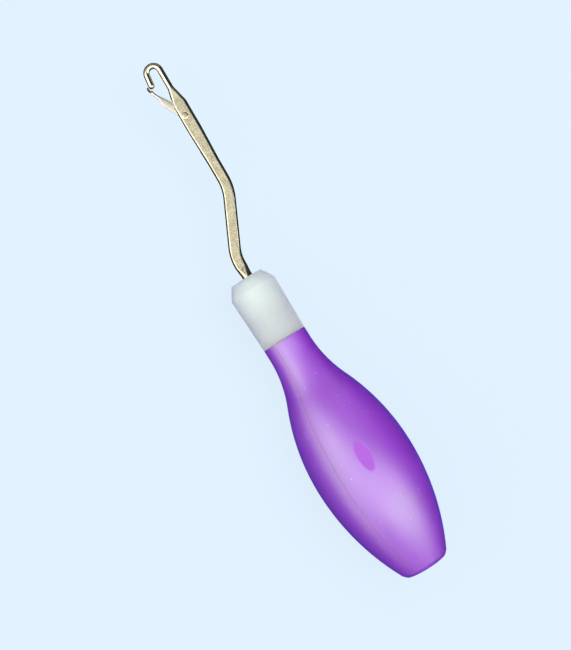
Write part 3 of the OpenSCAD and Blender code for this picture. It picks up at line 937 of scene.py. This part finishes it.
to_right = Vector((TOOL_WAY.x, TOOL_WAY.y, 0))
to_top = Vector((-TOOL_WAY.y, TOOL_WAY.x, 0))
axes = Matrix((to_right, to_top, Vector((0, 0, 1)))).transposed()
camera = bpy.data.objects.new("camera", bpy.data.cameras.new("camera"))
camera.data.sensor_width = SENSOR
camera.data.lens = SENSOR * FOCAL_PIXELS / PICTURE_PIXELS
camera.data.clip_start = 0.01
camera.matrix_world = Matrix.Translation(VIEW) @ axes.to_4x4()
bpy.context.scene.collection.objects.link(camera)
bpy.context.scene.camera = camera
print("lens in mm:", round(camera.data.lens, 2))

# %% [markdown]
# The ground shows its pale blue to the camera. Whatever mirrors it sees nearly black instead, and other
# light meets a deep blue, because the tool's sides fall off into dark and blue in the photograph. Most of
# the colour that the camera sees is given off evenly, and the rest is lit, so that a soft shadow stays.

# %% The ground
GROUND = "#E2F2FF"
GROUND_GLOW = 1.065
LIT_SHARE = 0.15
NEARLY_BLACK = (0.012, 0.022, 0.025, 1)


def ground_finish():
    material, tree = new_finish("pale_card")
    path = add(tree, "ShaderNodeLightPath").outputs
    glow = add(tree, "ShaderNodeEmission", {}, {"Color": linear(GROUND), "Strength": GROUND_GLOW})
    lit = add(tree, "ShaderNodeBsdfDiffuse", {}, {"Color": linear("#9FABB5")})
    blue = add(tree, "ShaderNodeBsdfDiffuse", {}, {"Color": linear("#121E6C")})
    black = add(tree, "ShaderNodeEmission", {}, {"Color": NEARLY_BLACK, "Strength": 1.0})
    unseen = blend_shaders(tree, path["Is Glossy Ray"], blue.outputs[0], black.outputs[0])
    seen = blend_shaders(tree, LIT_SHARE, glow.outputs[0], lit.outputs[0])
    shown = blend_shaders(tree, path["Is Camera Ray"], unseen, seen)
    add(tree, "ShaderNodeOutputMaterial", {}, {"Surface": shown})
    return material


ground_mesh = bpy.data.meshes.new("ground")
ground_mesh.from_pydata([(-3, -3, 0), (3, -3, 0), (3, 3, 0), (-3, 3, 0)], [], [(0, 1, 2, 3)])
ground = bpy.data.objects.new("ground", ground_mesh)
ground.data.materials.append(ground_finish())
bpy.context.scene.collection.objects.link(ground)
print("ground:", GROUND)

# %% [markdown]
# Three softboxes light the tool. The key stands high on the left of the hook, a long low strip behind it
# lights the left edges, and a fill stands high on the crank's side. The fill isn't mirrored, so it evens
# out the plastics and leaves the steel alone.

# %% The lamps
AIM = Vector((0.0, 0.0, 0.015))


def softbox(name, place, size, watts, mirrored=True):
    lamp = bpy.data.lights.new(name, "AREA")
    lamp.shape = "RECTANGLE"
    lamp.size, lamp.size_y = size
    lamp.energy = watts
    holder = bpy.data.objects.new(name, lamp)
    holder.location = place
    holder.rotation_mode = "QUATERNION"
    holder.rotation_quaternion = (AIM - Vector(place)).to_track_quat("-Z", "Y")
    if not mirrored:
        lamp.specular_factor = 0
        holder.visible_glossy = False
    bpy.context.scene.collection.objects.link(holder)


softbox("key", (-0.22, -0.40, 0.50), (0.3, 0.25), 0.35)
softbox("edge strip", (0.0, -0.52, 0.24), (0.8, 0.2), 1.0)
softbox("fill", (0.0, 0.22, 0.52), (0.3, 0.3), 1.7, mirrored=False)

# %% [markdown]
# The world gives the rest, and it differs by the kind of ray. A ray that was mirrored sees a dark room
# with two bright windows, an opening overhead and grey low down at its two ends. The dark between them is
# what draws the black edges along a polished wire. Other rays see a soft pale dome that turns deep blue
# low down. The camera sees the pale colour of the ground.

# %% The world
# A direction is given by its X and Y, so a patch reaches over any height
ANY = 100
WINDOWS = (((0.0, -0.44, 0), (0.52, 0.38, ANY), 2.75), ((0.43, 0.24, 0), (0.29, 0.64, ANY), 4.1))
OPENING = ((-0.14, 0, 0), (0.36, 0.19, ANY))
OPENING_LEVEL = 1.12
DOME_LOW = (0.02, 0.035, 0.22, 1)
DOME_HIGH = (1.4, 1.4, 1.4, 1)


def smooth(tree, value, start, end, low=0.0, high=1.0):
    return stretch(tree, value, start, end, low, high, "SMOOTHSTEP")


def patch(tree, way, centre, radii):
    return smooth(tree, reach_from(tree, way, centre, radii), 1.1, 0.8)


def light_world():
    world = bpy.data.worlds.new("studio")
    world.use_nodes = True
    tree = world.node_tree
    tree.nodes.clear()
    way = add(tree, "ShaderNodeTexCoord").outputs["Generated"]
    parts = add(tree, "ShaderNodeSeparateXYZ", {}, {0: way}).outputs
    height = parts["Z"]
    low = smooth(tree, height, 0.62, 0.48)
    ends = smooth(tree, calc(tree, "ABSOLUTE", parts["X"]), 0.3, 0.5, 0.05, 0.45)
    room = calc(tree, "MULTIPLY", low, ends)
    for centre, radii, level in WINDOWS:
        window = patch(tree, way, centre, radii)
        room = calc(tree, "MAXIMUM", calc(tree, "MULTIPLY", window, level), room)
    room = blend(tree, patch(tree, way, *OPENING), room, OPENING_LEVEL)
    dome = blend_colours(tree, smooth(tree, height, 0.45, 0.85), DOME_LOW, DOME_HIGH)
    path = add(tree, "ShaderNodeLightPath").outputs
    shade = blend_colours(tree, path["Is Glossy Ray"], dome, room)
    lit = add(tree, "ShaderNodeBackground", {}, {"Color": shade, "Strength": 1.0})
    plain = add(tree, "ShaderNodeBackground", {}, {"Color": linear(GROUND), "Strength": 1.0})
    shown = blend_shaders(tree, path["Is Camera Ray"], lit.outputs[0], plain.outputs[0])
    add(tree, "ShaderNodeOutputWorld", {}, {"Surface": shown})
    return world


bpy.context.scene.world = light_world()
bpy.context.scene.view_settings.view_transform = "Standard"
print("world:", bpy.context.scene.world.name)
